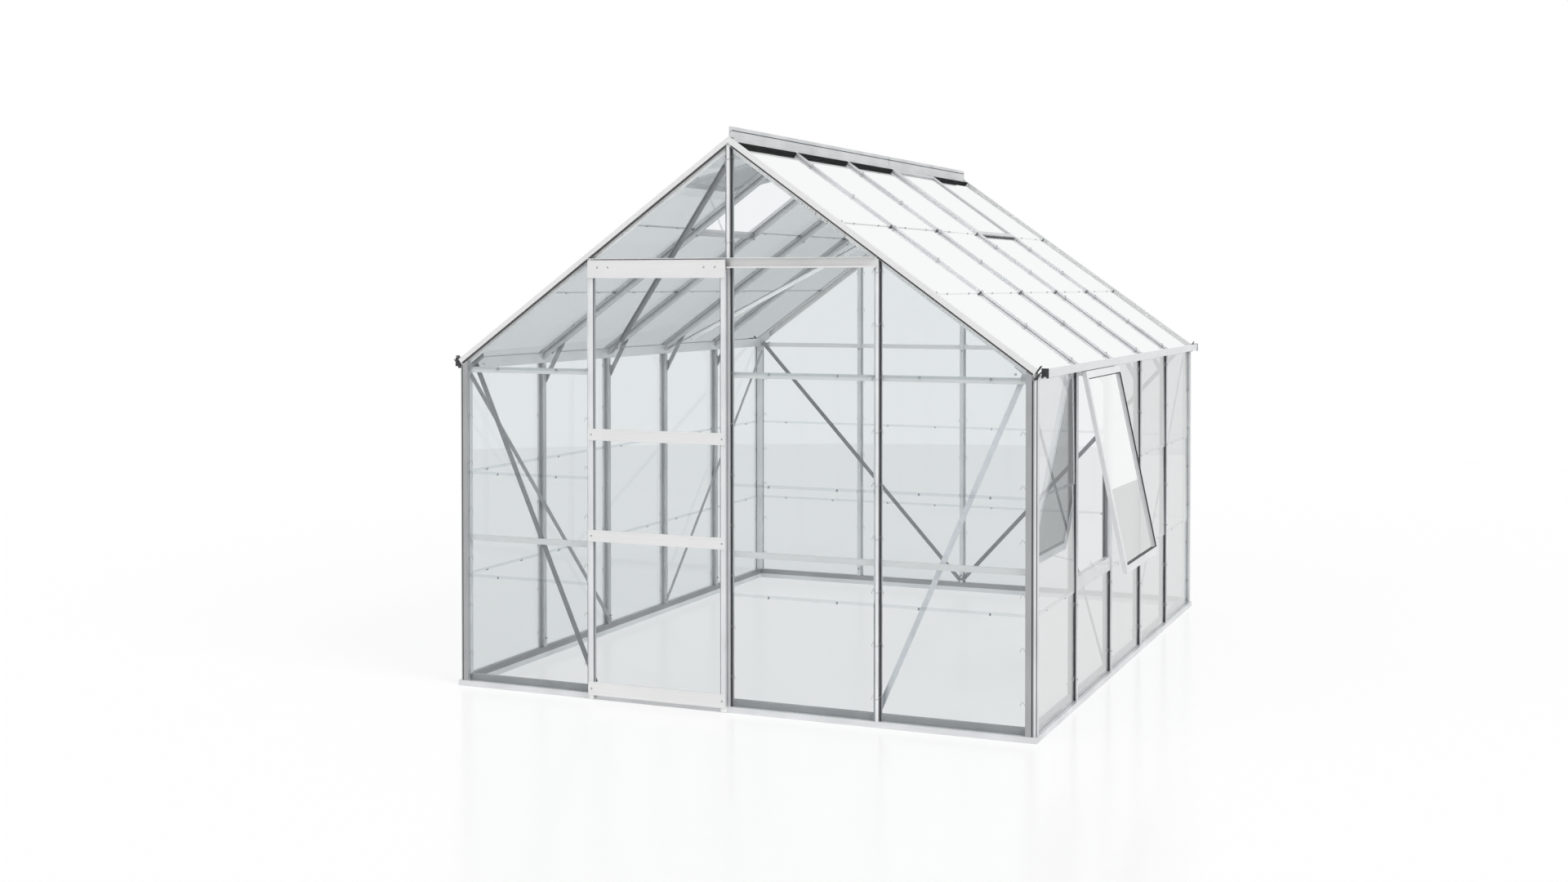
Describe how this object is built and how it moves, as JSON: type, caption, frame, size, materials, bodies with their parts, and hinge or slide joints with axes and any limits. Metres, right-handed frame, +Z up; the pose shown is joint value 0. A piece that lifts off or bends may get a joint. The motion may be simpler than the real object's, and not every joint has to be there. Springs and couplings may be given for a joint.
{
  "type": "glass greenhouse",
  "caption": "Aluminium-framed greenhouse glazed in clear panes, with a gabled roof, a sliding front door, an open side window and two roof vents.",
  "frame": {"origin": "middle of the front sill's underside, on the ground", "axes": "+X to the right seen from the front, +Y back along the ridge, +Z up"},
  "size_m": [2.8016, 3.1942, 2.3724],
  "materials": {
    "aluminium": "satin mill finish",
    "white_aluminium": "satin",
    "galvanised": "satin",
    "glass": "gloss",
    "black_plastic": "matte",
    "white_plastic": "matte"
  },
  "bodies": {
    "house": {"front_sill": "aluminium", "rear_sill": "aluminium", "left_sill": "aluminium", "right_sill": "aluminium", "front_left_post": "aluminium", "front_right_post": "aluminium", "rear_left_post": "aluminium", "rear_right_post": "aluminium", "front_gable_bars": "aluminium", "rear_gable_bars": "aluminium", "left_wall_bars": "aluminium", "right_wall_bars": "aluminium", "front_rafters": "aluminium", "rear_rafters": "aluminium", "left_roof_bars": "aluminium", "right_roof_bars": "aluminium", "ridge": "aluminium", "left_gutter": "aluminium", "right_gutter": "aluminium", "gutter_end_caps": "black_plastic", "gable_rails": "aluminium", "gable_braces": "galvanised", "wall_braces": "galvanised", "roof_braces": "galvanised", "knee_braces": "galvanised", "corner_plates": "galvanised", "front_glass": "glass", "rear_glass": "glass", "left_wall_glass": "glass", "right_wall_glass": "glass", "left_roof_glass": "glass", "right_roof_glass": "glass", "side_window_frame": "aluminium", "side_window_glass": "glass", "side_window_rails": "aluminium", "side_window_stay": "white_aluminium", "left_vent_frame": "aluminium", "left_vent_glass": "glass", "right_vent_frame": "aluminium", "right_vent_glass": "glass", "vent_sills": "aluminium", "vent_stays": "white_aluminium", "door_track": "aluminium"},
    "door": {"door_stiles": "aluminium", "door_rails": "aluminium", "door_glass": "glass", "door_rollers": "white_plastic", "door_guides": "white_plastic"}
  },
  "joints": [
    {"name": "door_slide", "type": "slide", "parent": "house", "child": "door", "axis": [1, 0, 0], "range_m": [0, 0.6]}
  ]
}
